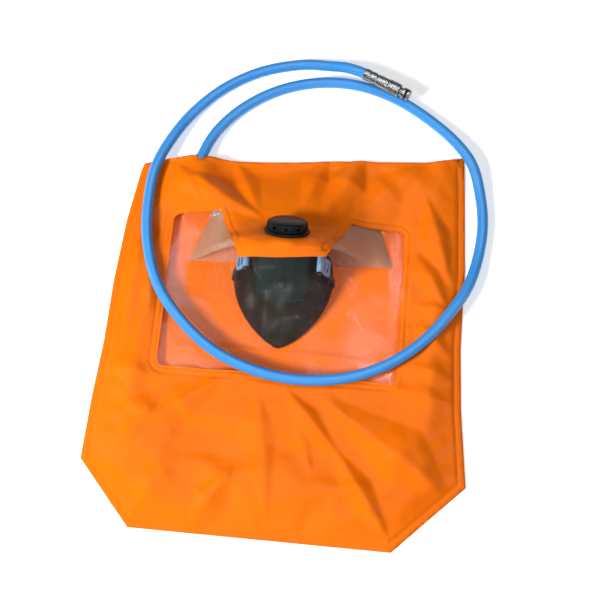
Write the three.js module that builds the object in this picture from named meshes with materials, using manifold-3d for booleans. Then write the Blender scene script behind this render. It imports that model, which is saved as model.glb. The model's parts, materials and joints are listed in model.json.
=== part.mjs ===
// Air-fed rescue hood, lying on its back and ready to put on: an orange film hood with a clear visor
// window, a black half mask with a capped exhalation valve behind it, a neck seal, a head strap and
// a blue air hose that leaves at the neck and ends in a metal plug.
//
// Millimetres. +Z up, the floor at z = 0. The neck opening faces +Y, the crown -Y, and the wearer's
// right hand side is +X. The origin is under the middle of the hood.

import * as THREE from "three";
import { mergeVertices } from "three/addons/utils/BufferGeometryUtils.js";
import Module from "manifold-3d";

const wasm = await Module();
wasm.setup();

// ---------------------------------------------------------------- driving dimensions

const gap = 0.3; // clearance between pieces that touch

// Hood: two film panels of one outline, welded along the sides and the crown and open at the neck
const film = 1.2;
const hoodHalfWidth = 166;
const hoodHalfLength = 184;
const seamHeight = film + gap; // underside of the front panel along the welds
const roomHeight = 6.8; // underside of the front panel away from the welds
const weldFade = 45; // distance over which the front panel rises from the welds

// Visor window
const windowLeft = -110;
const windowRight = 101;
const windowTop = 104;
const windowBottom = -39;
const windowCorner = 7; // radius of its corners

// The orange chin tab that stands in the window's top edge: x of its top corners, then its foot
const tabTopLeft = -66;
const tabTopRight = 53;
const tabFootLeft = [-43.5, 51];
const tabFootRight = [32, 56];
const tabFootDip = 50.5; // height in plan that the foot's curve is drawn towards

// Neck seal: half widths of its wide and narrow ends, and where they lie
const sealLayer = 0.8;
const sealWide = 93;
const sealNarrow = 67;
const sealWideLeftY = 62;
const sealWideRightY = 69;
const sealNarrowY = 138;
const sealUnderFilm = 1.2; // its upper layer's top, below the front panel's underside

// Half mask, lying on its rim
const maskX = -5; // middle line
const noseY = -15;
const wideY = 48;
const chinY = 104;
const maskHalfWidth = 45;
const rimHeight = 3.3;
const ridgeY = 66;
const ridgeHeight = 59;
const rubber = 2.4;

// Exhalation valve: its axis leans from the vertical towards the neck
const valveTilt = THREE.MathUtils.degToRad(52);
const valveCentre = new THREE.Vector3(maskX + 1, 80, 45);
const valveTubeRadius = 15;
const valveRingRadius = 20.2;
const coverRadius = 18;
const coverSlots = 10;

// Air inlet on the mask's left cheek
const inletCentre = new THREE.Vector3(-37, 86, 13);
const inletHeading = Math.atan2(3, -4); // outward direction in plan
const inletTubeRadius = 6.5;

// Hose and plug
const hoseRadius = 5;
const plugEnd = new THREE.Vector3(98, 236.5, 16.4);

// Strap clips
const clipOffset = 32; // pin line, out from the mask's middle line
const clipHeight = 45.2;
const clipY = 53;
const clipLength = 16;
const clipTilt = THREE.MathUtils.degToRad(58); // below the horizontal
const clipWidth = 15;

// ---------------------------------------------------------------- materials

function material(color, roughness, metalness = 0, opacity = 1) {
  return new THREE.MeshStandardMaterial({ color, roughness, metalness, opacity, transparent: opacity < 1 });
}

const orangeFilm = material(0xf87a12, 0.35);
const clearFilm = material(0xf3e6da, 0.08, 0, 0.35);
const sealFilm = material(0xe9c3b0, 0.2, 0, 0.5);
const blackRubber = material(0x1d1a19, 0.5);
const blackPlastic = material(0x16191b, 0.3);
const valveRubber = material(0x6d6a62, 0.6);
const clipPlastic = material(0x9fb6c8, 0.15, 0, 0.7);
const strapWeb = material(0x2b2c30, 0.85);
const hoseBlue = material(0x2f93e0, 0.35);
const steel = material(0xa9aaa4, 0.25, 1);
const sealBlack = material(0x101010, 0.6);

// ---------------------------------------------------------------- solids

// A closed geometry as a manifold solid, after an optional placement
function solid(geometry, matrix) {
  let plain = geometry.index ? geometry.toNonIndexed() : geometry.clone();
  plain.deleteAttribute("normal");
  plain.deleteAttribute("uv");
  if (matrix) plain.applyMatrix4(matrix);
  plain = mergeVertices(plain, 1e-4);
  const vertProperties = new Float32Array(plain.attributes.position.array);
  const triVerts = new Uint32Array(plain.index.array);
  return new wasm.Manifold(new wasm.Mesh({ numProp: 3, vertProperties, triVerts }));
}

function geometryOf(manifold) {
  const mesh = manifold.getMesh();
  const geometry = new THREE.BufferGeometry();
  geometry.setAttribute("position", new THREE.BufferAttribute(new Float32Array(mesh.vertProperties), 3));
  geometry.setIndex(new THREE.BufferAttribute(new Uint32Array(mesh.triVerts), 1));
  return geometry;
}

function shapeOf(points, holes = []) {
  const shape = new THREE.Shape(points);
  shape.holes = holes.map((hole) => new THREE.Path(hole));
  return shape;
}

function extruded(shape, bottom, top, curveSegments = 6) {
  const settings = { depth: top - bottom, bevelEnabled: false, curveSegments };
  return new THREE.ExtrudeGeometry(shape, settings).translate(0, 0, bottom);
}

// A ring or disc turned about the Z axis, from [radius, z] corners that start and end on the axis
// or close on themselves
function turned(corners, segments = 28) {
  const profile = corners.map(([r, z]) => new THREE.Vector2(r, z));
  return new THREE.LatheGeometry(profile, segments).rotateX(Math.PI / 2);
}

function ring(inner, outer, bottom, top, segments = 28) {
  return turned([[inner, bottom], [outer, bottom], [outer, top], [inner, top], [inner, bottom]], segments);
}

function disc(radius, bottom, top, segments = 28) {
  return turned([[0, bottom], [radius, bottom], [radius, top], [0, top]], segments);
}

// A closed sheet between two height functions, over a grid of x and y lines
function sheet(bottomAt, topAt, xs, ys) {
  const positions = [];
  const rows = ys.length;
  const layer = xs.length * rows;
  for (const heightAt of [bottomAt, topAt]) {
    for (const x of xs) {
      for (const y of ys) positions.push(x, y, heightAt(x, y));
    }
  }
  const index = [];
  const quad = (a, b, c, d) => index.push(a, b, c, a, c, d);
  const at = (i, j, top) => i * rows + j + (top ? layer : 0);
  for (let i = 0; i < xs.length - 1; i++) {
    for (let j = 0; j < rows - 1; j++) {
      quad(at(i, j, 1), at(i + 1, j, 1), at(i + 1, j + 1, 1), at(i, j + 1, 1));
      quad(at(i, j, 0), at(i, j + 1, 0), at(i + 1, j + 1, 0), at(i + 1, j, 0));
    }
  }
  const lastX = xs.length - 1;
  const lastY = rows - 1;
  for (let i = 0; i < lastX; i++) {
    quad(at(i, 0, 0), at(i + 1, 0, 0), at(i + 1, 0, 1), at(i, 0, 1));
    quad(at(i + 1, lastY, 0), at(i, lastY, 0), at(i, lastY, 1), at(i + 1, lastY, 1));
  }
  for (let j = 0; j < lastY; j++) {
    quad(at(0, j + 1, 0), at(0, j, 0), at(0, j, 1), at(0, j + 1, 1));
    quad(at(lastX, j, 0), at(lastX, j + 1, 0), at(lastX, j + 1, 1), at(lastX, j, 1));
  }
  const geometry = new THREE.BufferGeometry();
  geometry.setAttribute("position", new THREE.Float32BufferAttribute(positions, 3));
  geometry.setIndex(index);
  return geometry;
}

const model = new THREE.Group();

function place(name, shape, look, parent = model) {
  const geometry = shape instanceof wasm.Manifold ? geometryOf(shape) : shape;
  const mesh = new THREE.Mesh(geometry, look);
  mesh.name = name;
  parent.add(mesh);
  return mesh;
}

// ---------------------------------------------------------------- frames of the valve and the inlet

const valveFrame = new THREE.Group();
valveFrame.position.copy(valveCentre);
valveFrame.rotation.x = -valveTilt;
valveFrame.updateMatrix();

const inletFrame = new THREE.Group();
inletFrame.position.copy(inletCentre);
inletFrame.rotation.set(0, Math.PI / 2, inletHeading, "ZYX");
inletFrame.updateMatrix();

model.add(valveFrame, inletFrame);

const valveSolid = (geometry) => solid(geometry, valveFrame.matrix);
const inletSolid = (geometry) => solid(geometry, inletFrame.matrix);

// ---------------------------------------------------------------- mask form

// Half width of the rim at a station along the mask: pointed at the nose, round at the chin
function maskWidthAt(y) {
  const nose = (wideY - y) / (wideY - noseY);
  const chin = (y - wideY) / (chinY - wideY);
  const share = y < wideY ? (1 - Math.min(nose, 1) ** 1.8) ** 0.75 : (1 - Math.min(chin, 1) ** 2.4) ** 0.6;
  return maskHalfWidth * share;
}

// Height of the mask's middle line at a station
function crestAt(y) {
  const noseRise = 4;
  if (y < ridgeY) {
    const along = Math.max(0, (y - noseY) / (ridgeY - noseY));
    return rimHeight + noseRise + (ridgeHeight - rimHeight - noseRise) * along ** 0.9;
  }
  const along = Math.min(1, (y - ridgeY) / (chinY - ridgeY));
  return rimHeight + (ridgeHeight - rimHeight) * Math.sqrt(1 - along ** 2.2);
}

// The mask's outer form grown by a distance, closed below at a given height
function maskForm(grow, floorZ) {
  const stations = 16;
  const columns = 14;
  const positions = [];
  const index = [];
  const first = noseY - grow;
  const last = chinY + grow;
  for (let i = 1; i < stations; i++) {
    const y = first + (last - first) * (0.5 - 0.5 * Math.cos((Math.PI * i) / stations));
    const inner = noseY + ((y - first) / (last - first)) * (chinY - noseY);
    const width = maskWidthAt(inner) + grow;
    const rise = crestAt(inner) + grow - rimHeight;
    for (let j = 0; j <= columns; j++) {
      const u = -Math.cos((Math.PI * j) / columns);
      const z = rimHeight + rise * (1 - Math.abs(u) ** 2.2) ** 0.6;
      positions.push(maskX + width * u, y, Math.max(z, floorZ + 0.01));
    }
    positions.push(maskX + width, y, floorZ, maskX - width, y, floorZ);
  }
  const loop = columns + 3;
  for (let i = 0; i < stations - 2; i++) {
    for (let j = 0; j < loop; j++) {
      const a = i * loop + j;
      const b = i * loop + ((j + 1) % loop);
      index.push(a, b, b + loop, a, b + loop, a + loop);
    }
  }
  const noseTip = positions.length / 3;
  positions.push(maskX, first, rimHeight);
  const chinTip = noseTip + 1;
  positions.push(maskX, last, rimHeight);
  const lastRow = (stations - 2) * loop;
  for (let j = 0; j < loop; j++) {
    const next = (j + 1) % loop;
    index.push(noseTip, next, j, chinTip, lastRow + j, lastRow + next);
  }
  const geometry = new THREE.BufferGeometry();
  geometry.setAttribute("position", new THREE.Float32BufferAttribute(positions, 3));
  geometry.setIndex(index);
  return solid(geometry);
}

// Everything below a plane across the valve's axis
function belowValvePlane(height) {
  return valveSolid(new THREE.BoxGeometry(300, 300, 200).translate(0, 0, height - 100));
}

// ---------------------------------------------------------------- hose route

// Chosen points of the hose's middle line, from the plug round the loop and into the neck to the mask
const hoseRoute = [
  [65, 252, 16.4], [54.1, 257.1, 16.4], [38, 263.2, 13.4], [20, 267.2, 7.2], [-4, 267.6, 5.2],
  [-42, 257.5, 5.2], [-76, 237.5, 5.2], [-103, 209, 6.4], [-121, 177, 10.2], [-131.5, 147, 12.4],
  [-134, 112, 12.8], [-130.5, 75.5, 13.3], [-117, 35, 13.8], [-94, 4.5, 14.2], [-61, -23, 14.8],
  [-21, -39, 14.4], [18, -43.8, 13.8], [57, -39, 13.8], [93, -24, 13.8], [123, 0, 13.6],
  [146, 29.5, 12.2], [160, 54, 9.6], [168.5, 83, 5.9], [172, 115, 5.2], [169, 144, 5.9],
  [160.5, 173, 9.2], [148, 191.5, 8.8], [124, 215, 5.4], [88, 237.5, 5.2], [50, 249.5, 5.2],
  [12, 249.5, 5.2], [-26, 238, 5.2], [-58, 216.5, 5.4], [-79.5, 190.5, 6.6], [-90, 165, 8.6],
  [-92.3, 148, 10.6], [-88.5, 131, 12.2], [-79, 117.5, 13], [-63, 105.5, 13], [-44.2, 91.4, 13],
].map((point) => new THREE.Vector3(...point));

const hiddenRoute = hoseRoute.slice(-6);

function tube(points, radius, steps, sides) {
  const section = new THREE.Shape().absarc(0, 0, radius, 0, 2 * Math.PI);
  return new THREE.ExtrudeGeometry(section, {
    steps,
    curveSegments: sides / 2, // a full circle is drawn with twice this number
    bevelEnabled: false,
    extrudePath: new THREE.CatmullRomCurve3(points, false, "centripetal"),
  });
}

// ---------------------------------------------------------------- height of the hood's front panel

const smooth = (value) => THREE.MathUtils.smoothstep(value, 0, 1);

// The hood's outline, from the neck's left corner round the crown to its right corner
const neckLeft = new THREE.Vector2(-144, 155);
const neckRight = new THREE.Vector2(153, hoodHalfLength);
const leftSide = [[-146, 148], [-153.5, 97], [-158, 38], [-159.5, -19], [-163.5, -70]];
const crown = [
  [-hoodHalfWidth, -125],
  [-118.5, -180.5],
  [105, -hoodHalfLength],
  [hoodHalfWidth, -124.5],
];
const rightSide = [[159.5, -57], [157, -2], [158, 73], [155, 150]];
const cutPoints = [...leftSide, ...crown, ...rightSide].map(([x, y]) => new THREE.Vector2(x, y));
const weldedEdge = [neckLeft, ...cutPoints, neckRight];

function hoodShape() {
  const shape = shapeOf(weldedEdge);
  shape.splineThru([[116, 174.5], [42, 169], [-20, 163], [-60, 161], [-101, 161.5], neckLeft.toArray()]
    .map(([x, y]) => new THREE.Vector2(x, y)));
  return shape;
}

function distanceToRun(point, run) {
  let nearest = Infinity;
  for (let i = 0; i < run.length - 1; i++) {
    const leg = run[i + 1].clone().sub(run[i]);
    const along = THREE.MathUtils.clamp(point.clone().sub(run[i]).dot(leg) / leg.lengthSq(), 0, 1);
    nearest = Math.min(nearest, point.distanceTo(run[i].clone().addScaledVector(leg, along)));
  }
  return nearest;
}

// Underside of the film where the mask props it up, falling away to the sides like a tent
function maskTentAt(x, y) {
  const clear = 7.5; // room for the front shell and the neck seal between the mask and the film
  const noseFoot = noseY - 14;
  const chinFoot = chinY + 46;
  let crest = crestAt(y) + clear;
  if (y < noseY) crest = THREE.MathUtils.mapLinear(y, noseFoot, noseY, roomHeight, crestAt(noseY) + clear);
  const behindValve = THREE.MathUtils.mapLinear(y, valveCentre.y + 12, chinFoot, 31, roomHeight);
  if (y > valveCentre.y) crest = behindValve;
  const spread = maskWidthAt(THREE.MathUtils.clamp(y, 0, 70)) + 32;
  const share = 1 - Math.min(1, Math.abs(x - maskX) / spread) ** 3;
  return roomHeight + (crest - roomHeight) * share;
}

// Underside of the film over the hose's stretch inside the hood
function hoseRidgeAt(x, y) {
  const route = hiddenRoute.map((point) => new THREE.Vector2(point.x, point.y));
  const distance = distanceToRun(new THREE.Vector2(x, y), route);
  const lift = THREE.MathUtils.mapLinear(THREE.MathUtils.clamp(y, 120, 165), 120, 165, 24.5, 15.5);
  return lift - Math.max(0, distance - 9) * 0.95;
}

// Height of the plane that the film lies in around the valve
function valvePlaneAt(y, height) {
  return valveCentre.z + height / Math.cos(valveTilt) - (y - valveCentre.y) * Math.tan(valveTilt);
}

const filmUnderValve = -0.5; // the film's underside at the valve, along the valve's axis
const flatHalfWidth = 28; // the flat around the valve, across the mask
const flatHalfLength = 24 * Math.cos(valveTilt); // and along it, in plan

function filmAt(x, y) {
  const onFlat = Math.abs(x - valveCentre.x) < flatHalfWidth + 1
    && Math.abs(y - valveCentre.y) < flatHalfLength + 1;
  if (onFlat) return valvePlaneAt(y, filmUnderValve);
  const edge = smooth(distanceToRun(new THREE.Vector2(x, y), weldedEdge) / weldFade);
  const room = seamHeight + (roomHeight - seamHeight) * edge;
  const tents = Math.max(maskTentAt(x, y), hoseRidgeAt(x, y));
  return Math.max(room, tents * Math.min(1, edge + 0.35));
}

// Grid lines: coarse over the hood, close around the mask
function gridLines(from, to, coarse, fine) {
  const lines = [...fine];
  for (let at = Math.min(...fine) - coarse; at > from; at -= coarse) lines.push(at);
  for (let at = Math.max(...fine) + coarse; at < to; at += coarse) lines.push(at);
  lines.push(from, to);
  return lines.sort((a, b) => a - b);
}

const coarseStep = 22;
const fineX = [-82, -70, -57, -43, -flatHalfWidth, 0, flatHalfWidth, 43, 57, 70]
  .map((step) => valveCentre.x + step);
const fineY = [-108, -94, -78, -62, -47, -36, -25, -flatHalfLength, flatHalfLength, 26, 37, 48, 59, 70, 82]
  .map((step) => valveCentre.y + step);
const gridX = gridLines(-hoodHalfWidth - 4, hoodHalfWidth + 4, coarseStep, fineX);
const gridY = gridLines(-hoodHalfLength - 4, hoodHalfLength + 4, coarseStep, fineY);

function filmSheet() {
  return solid(sheet(filmAt, (x, y) => filmAt(x, y) + film, gridX, gridY));
}

// ---------------------------------------------------------------- hood

function hoodPrism() {
  return solid(extruded(hoodShape(), -1, 120));
}

// The window's outline: a rounded rectangle with the chin tab left standing from its top edge
function windowShape(inset) {
  const round = windowCorner;
  const left = windowLeft + inset;
  const right = windowRight - inset;
  const bottom = windowBottom + inset;
  const top = windowTop - inset;
  const shape = new THREE.Shape();
  shape.moveTo(left, bottom + round);
  shape.quadraticCurveTo(left, bottom, left + round, bottom);
  shape.lineTo(right - round, bottom);
  shape.quadraticCurveTo(right, bottom, right, bottom + round);
  shape.lineTo(right, top - round);
  shape.quadraticCurveTo(right, top, right - round, top);
  shape.lineTo(tabTopRight + inset, top);
  shape.lineTo(tabFootRight[0] + inset, tabFootRight[1] - inset);
  shape.quadraticCurveTo(maskX, tabFootDip - inset, tabFootLeft[0] - inset, tabFootLeft[1] - inset);
  shape.lineTo(tabTopLeft - inset, top);
  shape.lineTo(left + round, top);
  shape.quadraticCurveTo(left, top, left, top - round);
  return shape;
}

// The hole for the valve's tube in the film and in the seal
function valveHole() {
  return valveSolid(disc(valveTubeRadius + 0.5, -12, 12));
}

function buildHood() {
  place("hood_back_panel", extruded(hoodShape(), 0, film), orangeFilm);
  const windowHole = solid(extruded(windowShape(0), -1, 120));
  const front = filmSheet().intersect(hoodPrism()).subtract(windowHole).subtract(valveHole());
  place("hood_front_panel", front, orangeFilm);
  const pane = filmSheet().intersect(solid(extruded(windowShape(gap), -1, 120)));
  place("visor_window", pane, clearFilm);
}

// ---------------------------------------------------------------- neck seal

// A flat sleeve inside the neck: its wide end is joined to the hood beside the mask, its narrow end
// is the hole for the wearer's neck, and the mask's chin lies between its two layers
function buildNeckSeal() {
  const backZ = film + gap;
  const sleeve = (inset, overrun) => shapeOf([
    new THREE.Vector2(-sealWide + inset, sealWideLeftY - overrun),
    new THREE.Vector2(sealWide - inset, sealWideRightY - overrun),
    new THREE.Vector2(sealNarrow - inset, sealNarrowY + overrun),
    new THREE.Vector2(-sealNarrow + inset, sealNarrowY + overrun),
  ]);
  const topAt = (x, y) => filmAt(x, y) - sealUnderFilm;
  const outside = sheet(() => backZ, topAt, gridX, gridY);
  const inside = sheet(() => backZ + sealLayer, (x, y) => topAt(x, y) - sealLayer, gridX, gridY);
  const outer = solid(outside).intersect(solid(extruded(sleeve(0, 0), -1, 99)));
  const inner = solid(inside).intersect(solid(extruded(sleeve(1, 1), -1, 99)));
  const hoseHole = solid(tube(hiddenRoute, hoseRadius + 3, 10, 12));
  place("neck_seal", outer.subtract(inner).subtract(valveHole()).subtract(hoseHole), sealFilm);
}

// ---------------------------------------------------------------- mask

function buildMask() {
  const turretRadius = 20.4;
  const seat = -2; // top of the rubber, along the valve's axis
  const outerForm = maskForm(0, rimHeight - 0.02)
    .add(valveSolid(disc(turretRadius, -16, seat)))
    .intersect(belowValvePlane(seat))
    .add(inletSolid(disc(9.4, -6, 3)));
  const innerForm = maskForm(-rubber, rimHeight - 6)
    .add(valveSolid(disc(turretRadius - rubber, -18, seat - rubber)))
    .intersect(belowValvePlane(seat - rubber));
  const lugs = [-1, 1].flatMap((side) => clipLugs(side));
  let face = outerForm;
  for (const lug of lugs) face = face.add(lug);
  face = face.subtract(innerForm)
    .subtract(valveSolid(disc(valveTubeRadius + gap, -30, 5)))
    .subtract(inletSolid(disc(inletTubeRadius + gap, -12, 5)));
  for (const side of [-1, 1]) face = face.subtract(clipPinHole(side));
  place("mask_facepiece", face, blackRubber);
  buildFrontShell(turretRadius);
}

// The rigid plate over the mask's middle, round at the nose end, with a stud that holds it
function buildFrontShell(turretRadius) {
  const halfWidth = 23;
  const tip = 18;
  const plan = new THREE.Shape();
  plan.moveTo(-halfWidth, 75);
  plan.lineTo(-halfWidth, tip + halfWidth * 0.8);
  plan.quadraticCurveTo(-halfWidth, tip, 0, tip);
  plan.quadraticCurveTo(halfWidth, tip, halfWidth, tip + halfWidth * 0.8);
  plan.lineTo(halfWidth, 75);
  const planPrism = solid(extruded(plan, 0, 100).translate(maskX, 0, 0));
  const studY = 34;
  const studMatrix = new THREE.Matrix4()
    .makeRotationX(THREE.MathUtils.degToRad(34))
    .setPosition(maskX, studY, crestAt(studY));
  const studHole = solid(disc(2.6, -8, 12, 16), studMatrix);
  const shell = maskForm(2.6, rimHeight).subtract(maskForm(0.4, rimHeight - 5)).intersect(planPrism)
    .intersect(belowValvePlane(-2.4))
    .subtract(valveSolid(disc(turretRadius + gap, -40, 12)))
    .subtract(studHole);
  place("mask_front_shell", shell, blackPlastic);
  const stud = turned([[0, 0.6], [2.2, 0.6], [2.2, 3.2], [4.2, 3.2], [3.2, 4.6], [0, 5]], 16);
  place("front_shell_stud", solid(stud, studMatrix), blackPlastic);
}

// ---------------------------------------------------------------- strap clips and strap

// Where a clip's pin runs, along Y
function clipMatrix(side) {
  return new THREE.Matrix4()
    .makeRotationY(side > 0 ? clipTilt : Math.PI - clipTilt)
    .setPosition(maskX + side * clipOffset, clipY, clipHeight);
}

function alongY(radius, length, segments = 12) {
  return new THREE.CylinderGeometry(radius, radius, length, segments);
}

function clipPinHole(side) {
  return solid(alongY(1.5, clipWidth + 30).translate(maskX + side * clipOffset, clipY, clipHeight));
}

// Two ears on the mask's cheek that carry a clip's pin
function clipLugs(side) {
  const earThickness = 2.4;
  const x = maskX + side * clipOffset;
  return [-1, 1].map((end) => {
    const y = clipY + end * (clipWidth / 2 + gap + earThickness / 2);
    const ear = new THREE.BoxGeometry(7, earThickness, 13).translate(x - side * 1.5, y, clipHeight - 6.5);
    return solid(ear).add(solid(alongY(3, earThickness).translate(x, y, clipHeight)));
  });
}

// A clear plate with two strap slots, hinged on its pin
function buildClip(side) {
  const label = side < 0 ? "left" : "right";
  const outline = [[0, -clipWidth / 2], [clipLength, 2 - clipWidth / 2], [clipLength, clipWidth / 2 - 2],
    [0, clipWidth / 2]].map(([x, y]) => new THREE.Vector2(x, y));
  let plate = solid(extruded(shapeOf(outline), -1, 1));
  for (const x of [6.3, 11.8]) {
    const strapSlot = new THREE.BoxGeometry(2.6, 9, 4).translate(x, 0, 0);
    plate = plate.subtract(solid(strapSlot));
  }
  const barrel = solid(alongY(2.6, clipWidth));
  const bore = solid(alongY(1.5, clipWidth + 2));
  const clip = plate.add(barrel).subtract(bore);
  place(`strap_clip_${label}`, geometryOf(clip).applyMatrix4(clipMatrix(side)), clipPlastic);
  const pin = alongY(1.2, clipWidth + 5).translate(maskX + side * clipOffset, clipY, clipHeight);
  place(`clip_pin_${label}`, pin, steel);
}

// A flat elastic web from clip to clip, passing under the mask's rim
function buildStrap() {
  const thick = 1;
  const width = 9;
  const run = [
    [45, 27], [47.6, 18], [48.8, 9], [48.4, 5], [46.5, 2.9], [43, 2.2], [38, 2.1], [30, 2.1], [10, 2.1],
  ];
  const middle = [...run.map(([x, z]) => [-x, z]), ...run.slice().reverse()]
    .map(([x, z]) => new THREE.Vector3(x, z, 0));
  const path = new THREE.CatmullRomCurve3(middle, false, "centripetal");
  const outside = [];
  const inside = [];
  const steps = 48;
  for (let i = 0; i <= steps; i++) {
    const point = path.getPoint(i / steps);
    const tangent = path.getTangent(i / steps);
    outside.push(new THREE.Vector2(point.x + (tangent.y * thick) / 2, point.y - (tangent.x * thick) / 2));
    inside.unshift(new THREE.Vector2(point.x - (tangent.y * thick) / 2, point.y + (tangent.x * thick) / 2));
  }
  const web = extruded(shapeOf([...outside, ...inside]), -width / 2, width / 2);
  place("head_strap", web.rotateX(Math.PI / 2).translate(maskX, clipY - 4, 0), strapWeb);
}

// ---------------------------------------------------------------- exhalation valve

function spokes(count, length, width, bottom, top) {
  return Array.from({ length: count }, (_, i) => new THREE.BoxGeometry(length, width, top - bottom)
    .translate(length / 2, 0, (bottom + top) / 2)
    .rotateZ((2 * Math.PI * i) / count));
}

function buildValve() {
  const tubeTop = 6.5;
  const seatTop = 0.4;
  let housing = solid(turned([
    [12, -7], [18 - gap, -7], [18 - gap, -4.8], [valveTubeRadius, -4.8], [valveTubeRadius, tubeTop],
    [13.4, tubeTop], [13.4, seatTop], [12, seatTop], [12, -7],
  ])).add(solid(disc(3, seatTop - 2, seatTop)));
  for (const spoke of spokes(4, 12.6, 1.6, seatTop - 2, seatTop)) housing = housing.add(solid(spoke));
  place("valve_housing", housing, blackPlastic, valveFrame);
  place("valve_disc", disc(12.9, seatTop + gap, seatTop + 1.1), valveRubber, valveFrame);
  place("valve_gasket", ring(valveTubeRadius + gap, 19.5, 0.55, 1.15), sealBlack, valveFrame);
  const clamp = ring(valveTubeRadius + gap, valveRingRadius, 1.45, 3.6, 40);
  place("valve_clamp_ring", clamp, blackPlastic, valveFrame);
  buildCover(tubeTop);
}

// A low dome over the valve, notched all round so that the breath leaves at its side
function buildCover(tubeTop) {
  const bottom = 3.9;
  const shoulder = 9.6;
  const top = 12.4;
  const wall = 1.9;
  let cover = solid(turned([
    [0, shoulder], [coverRadius - wall - 2, shoulder - 1], [coverRadius - wall, tubeTop + 0.6],
    [coverRadius - wall, bottom], [coverRadius, bottom], [coverRadius, shoulder - 1.4],
    [coverRadius - 1.6, shoulder + 1], [coverRadius - 6, top - 0.4], [0, top],
  ], 40));
  const slot = new THREE.BoxGeometry(5, 3.2, 3).translate(coverRadius, 0, 7.2);
  for (let i = 0; i < coverSlots; i++) {
    cover = cover.subtract(solid(slot.clone().rotateZ((2 * Math.PI * (i + 0.5)) / coverSlots)));
  }
  place("valve_cover", cover, blackPlastic, valveFrame);
}

// ---------------------------------------------------------------- air inlet

function buildInlet() {
  const seat = -8.6;
  let housing = solid(turned([
    [4.3, seat], [inletTubeRadius, seat], [inletTubeRadius, 3 + gap], [9.2, 3 + gap], [9.2, 5.2],
    [4.6, 5.2], [4.6, 8.6], [3, 8.6], [3, -5.5], [4.3, -5.5], [4.3, seat],
  ], 24));
  for (const spoke of spokes(3, 5, 1.2, seat, seat + 1.4)) housing = housing.add(solid(spoke));
  place("inlet_housing", housing, blackPlastic, inletFrame);
  place("inlet_nut", ring(inletTubeRadius + gap, 8.8, -7.6, -6.2, 24), blackPlastic, inletFrame);
  place("inlet_disc", disc(6, seat - gap - 0.8, seat - gap, 24), valveRubber, inletFrame);
  place("inlet_ferrule", ring(hoseRadius + gap, 6.5, 5.5, 20, 24), steel, inletFrame);
}

// ---------------------------------------------------------------- hose, grommet and plug

// A placement with +Z along a direction
function aimed(position, direction) {
  const heading = direction.clone().normalize();
  const turn = new THREE.Quaternion().setFromUnitVectors(new THREE.Vector3(0, 0, 1), heading);
  const group = new THREE.Group();
  group.position.copy(position);
  group.quaternion.copy(turn);
  model.add(group);
  return group;
}

function buildHose() {
  place("air_hose", tube(hoseRoute, hoseRadius, 80, 10), hoseBlue);
  const grommetAt = hiddenRoute[3].clone().lerp(hiddenRoute[4], 0.12);
  const grommetFrame = aimed(grommetAt, hiddenRoute[4].clone().sub(hiddenRoute[3]));
  place("hose_grommet", ring(hoseRadius + 0.5, 7.2, -2, 2, 20), sealBlack, grommetFrame);
}

function buildPlug() {
  const start = hoseRoute[0];
  const frame = aimed(start, plugEnd.clone().sub(start));
  const length = plugEnd.distanceTo(start);
  const ferruleOuter = 5.8;
  const bodyOuter = 5.6;
  const collarOuter = 6.4;
  const collarBottom = 13.5;
  const collarTop = 26;
  place("plug_ferrule", ring(hoseRadius + gap, ferruleOuter, -11, 13, 24), steel, frame);
  place("plug_body", turned([
    [2.2, gap], [5, gap], [5, 12.5], [4.4, 12.5], [4.4, length - 7.5],
    [bodyOuter, length - 7.5], [bodyOuter, length - 4.8], [4.6, length - 4.8], [4.6, length - 2.8],
    [bodyOuter, length - 2.8], [bodyOuter, length - 1], [4.8, length],
    [2.2, length], [2.2, gap],
  ], 24), steel, frame);
  let collar = solid(ring(4.7, collarOuter, collarBottom, collarTop, 36));
  for (let i = 0; i < 12; i++) {
    const groove = new THREE.BoxGeometry(1, 0.9, 9)
      .translate(collarOuter + 0.1, 0, (collarBottom + collarTop) / 2);
    collar = collar.subtract(solid(groove.rotateZ((Math.PI * i) / 6)));
  }
  place("plug_collar", collar, steel, frame);
  place("plug_o_ring", ring(4.6 + 0.15, 5.5, length - 4.5, length - 3.1, 24), sealBlack, frame);
}

// ---------------------------------------------------------------- assembly

buildHood();
buildNeckSeal();
buildMask();
for (const side of [-1, 1]) buildClip(side);
buildStrap();
buildValve();
buildInlet();
buildHose();
buildPlug();

export default model;
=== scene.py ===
"""Air-fed rescue hood lying on its back: the looks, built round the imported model. Metres, +Z up."""

import json
from math import cos, pi, radians, sin, sqrt

import bmesh
import bpy
import numpy as np
from mathutils import Matrix, Vector, geometry
from mathutils.bvhtree import BVHTree


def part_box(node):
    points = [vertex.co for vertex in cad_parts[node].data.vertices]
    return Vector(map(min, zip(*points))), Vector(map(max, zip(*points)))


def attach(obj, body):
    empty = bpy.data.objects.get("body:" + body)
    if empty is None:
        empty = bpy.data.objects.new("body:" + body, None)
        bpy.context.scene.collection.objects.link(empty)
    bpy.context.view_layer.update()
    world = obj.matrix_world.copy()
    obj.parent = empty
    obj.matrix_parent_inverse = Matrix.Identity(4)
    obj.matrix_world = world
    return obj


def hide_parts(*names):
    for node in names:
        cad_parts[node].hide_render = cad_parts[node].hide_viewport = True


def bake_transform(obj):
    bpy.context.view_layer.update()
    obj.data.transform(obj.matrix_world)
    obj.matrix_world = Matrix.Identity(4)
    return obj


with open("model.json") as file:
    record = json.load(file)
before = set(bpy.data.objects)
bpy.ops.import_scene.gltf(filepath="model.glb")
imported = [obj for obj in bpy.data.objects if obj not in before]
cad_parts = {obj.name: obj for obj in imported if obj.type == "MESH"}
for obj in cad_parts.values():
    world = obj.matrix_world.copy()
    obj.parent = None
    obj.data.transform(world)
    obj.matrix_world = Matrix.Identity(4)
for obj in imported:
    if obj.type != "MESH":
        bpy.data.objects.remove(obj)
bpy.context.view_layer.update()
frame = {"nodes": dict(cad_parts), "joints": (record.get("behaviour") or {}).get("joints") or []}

MM = 0.001
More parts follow.
